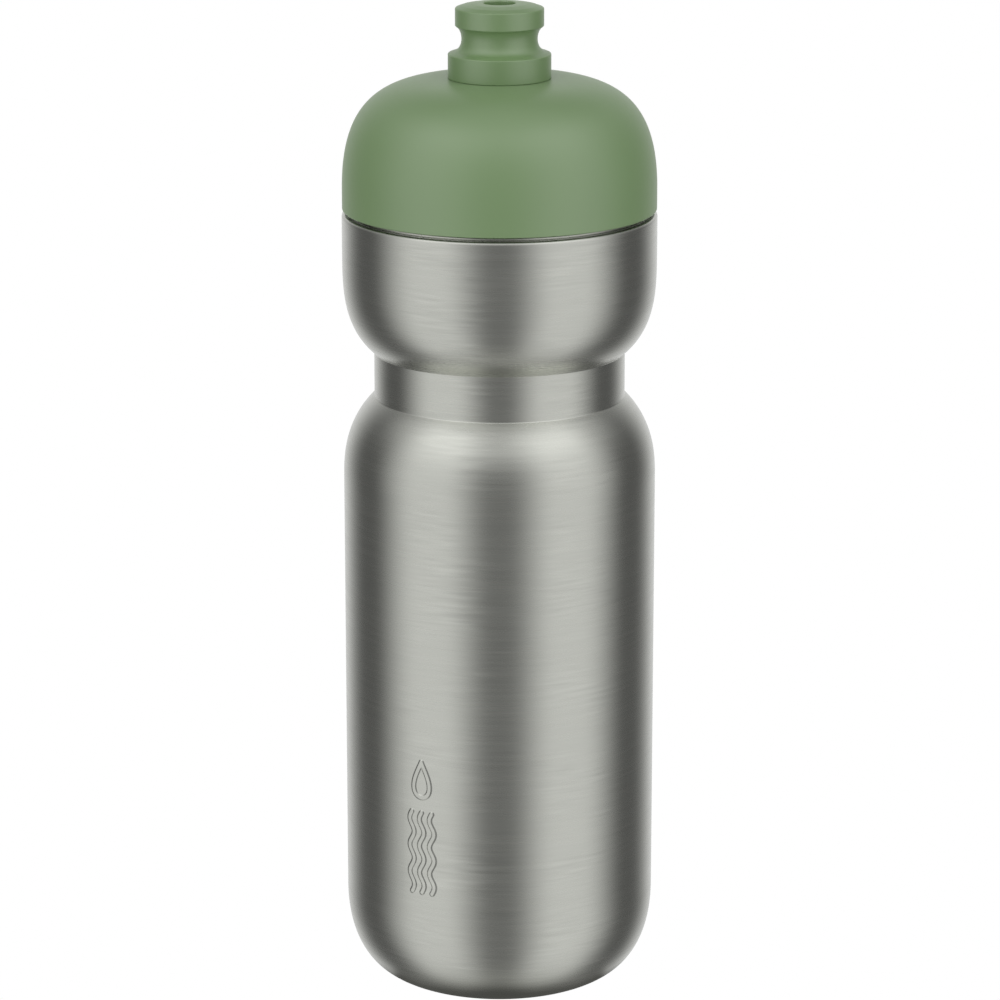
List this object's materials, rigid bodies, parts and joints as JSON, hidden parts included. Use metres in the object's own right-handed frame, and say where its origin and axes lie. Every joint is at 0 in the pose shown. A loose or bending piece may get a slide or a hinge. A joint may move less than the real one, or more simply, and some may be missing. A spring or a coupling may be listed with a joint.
{
  "type": "water bottle",
  "caption": "Rigid steel bicycle water bottle with a cage groove, a screw-on green dome cap and a push-pull drinking spout.",
  "frame": {"origin": "centre of the foot, on the bottle's axis, at the height of the surface it stands on", "axes": "+Z along the axis towards the spout; the bottle is round, so +X and +Y only fix where the threads start and the air valve sits"},
  "size_m": [0.0744, 0.0744, 0.2377],
  "materials": {
    "body_steel": "satin",
    "base_steel": "satin",
    "neck_steel": "satin",
    "cap_green": "satin",
    "liner_green": "matte",
    "gasket_silicone": "satin",
    "post_green": "satin",
    "plug_silicone": "matte",
    "vent_silicone": "matte",
    "spout_green": "satin",
    "o_ring_rubber": "satin"
  },
  "bodies": {
    "bottle": {"bottle_shell": "body_steel", "base_disc": "base_steel", "neck_ring": "neck_steel"},
    "cap_seal": {"cap_gasket": "gasket_silicone"},
    "cap": {"cap_dome": "cap_green", "cap_insert": "liner_green", "valve_post": "post_green", "plug_seal": "plug_silicone", "vent_valve": "vent_silicone"},
    "spout_seal": {"spout_o_ring": "o_ring_rubber"},
    "spout": {"spout": "spout_green"}
  },
  "joints": [
    {"name": "cap_lift", "type": "slide", "parent": "bottle", "child": "cap_seal", "axis": [0, 0, 1], "range_m": [0, 0.0131]},
    {"name": "cap_turn", "type": "hinge", "parent": "cap_seal", "child": "cap", "pos_m": [0, 0, 0.2034], "axis": [0, 0, 1], "range_deg": [0, 1170]},
    {"name": "spout_pull", "type": "slide", "parent": "cap", "child": "spout_seal", "axis": [0, 0, 1], "range_m": [0, 0.0065]},
    {"name": "spout_spin", "type": "hinge", "parent": "spout_seal", "child": "spout", "pos_m": [0, 0, 0.22045], "axis": [0, 0, 1], "continuous": true}
  ],
  "couplings": [
    {"joint": "cap_lift", "follows": "cap_turn", "m_per_rad": 0.00063662}
  ]
}
